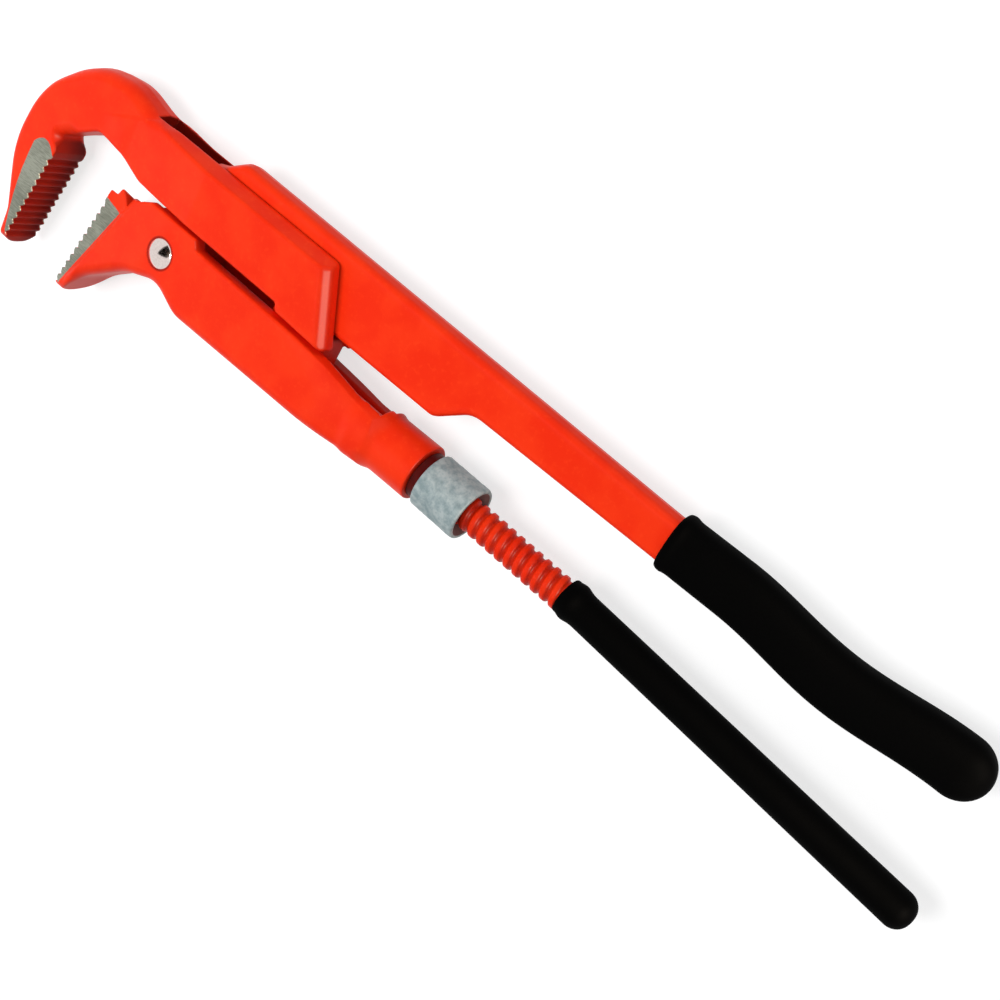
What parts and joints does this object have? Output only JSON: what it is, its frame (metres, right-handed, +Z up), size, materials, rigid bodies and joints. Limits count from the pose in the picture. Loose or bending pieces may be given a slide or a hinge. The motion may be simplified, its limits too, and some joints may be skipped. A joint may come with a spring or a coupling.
{
  "type": "pipe wrench",
  "caption": "Swedish pattern pipe wrench: crossing hook and jaw legs in a box joint, an adjusting nut on a threaded rod, and dipped grips.",
  "frame": {"origin": "on the flat far side that the wrench lies on, under the line of the threaded rod and level with the spring rivet", "axes": "+X along the rod towards the handle ends, +Y towards the long handle, +Z up from the side it lies on"},
  "size_m": [0.4202, 0.0884, 0.0257],
  "materials": {
    "leg_paint": "gloss orange-red paint on forged steel, with jaw flats ground bare",
    "nut_steel": "grey zinc plate, slightly mottled",
    "spring_steel": "dull spring steel",
    "rivet_chrome": "bright",
    "grip_dip": "satin black dipped vinyl"
  },
  "bodies": {
    "lower_leg": {"jaw_leg": "leg_paint", "pressure_spring": "spring_steel", "spring_rivet": "rivet_chrome", "long_handle_grip": "grip_dip"},
    "washer": {"thrust_washer": "leg_paint"},
    "upper_leg": {"hook_leg": "leg_paint", "short_handle_grip": "grip_dip"},
    "nut": {"adjusting_nut": "nut_steel"}
  },
  "joints": [
    {"name": "leg_rock", "type": "hinge", "parent": "lower_leg", "child": "washer", "pos_m": [0.1275, 0, 0.01175], "axis": [0, 0, 1], "range_deg": [0, 0.4], "stiffness_Nm_per_rad": 20, "springref_deg": -2.86},
    {"name": "jaw_adjust", "type": "slide", "parent": "washer", "child": "upper_leg", "axis": [0.9997, -0.0262, 0], "range_m": [-0.038, 0.027]},
    {"name": "nut_spin", "type": "hinge", "parent": "washer", "child": "nut", "pos_m": [0.1275, 0, 0.01175], "axis": [0.9997, -0.0262, 0], "range_deg": [-2500, 3430]}
  ],
  "couplings": [
    {"joint": "nut_spin", "follows": "jaw_adjust", "rad_per_m": -1570.8}
  ]
}
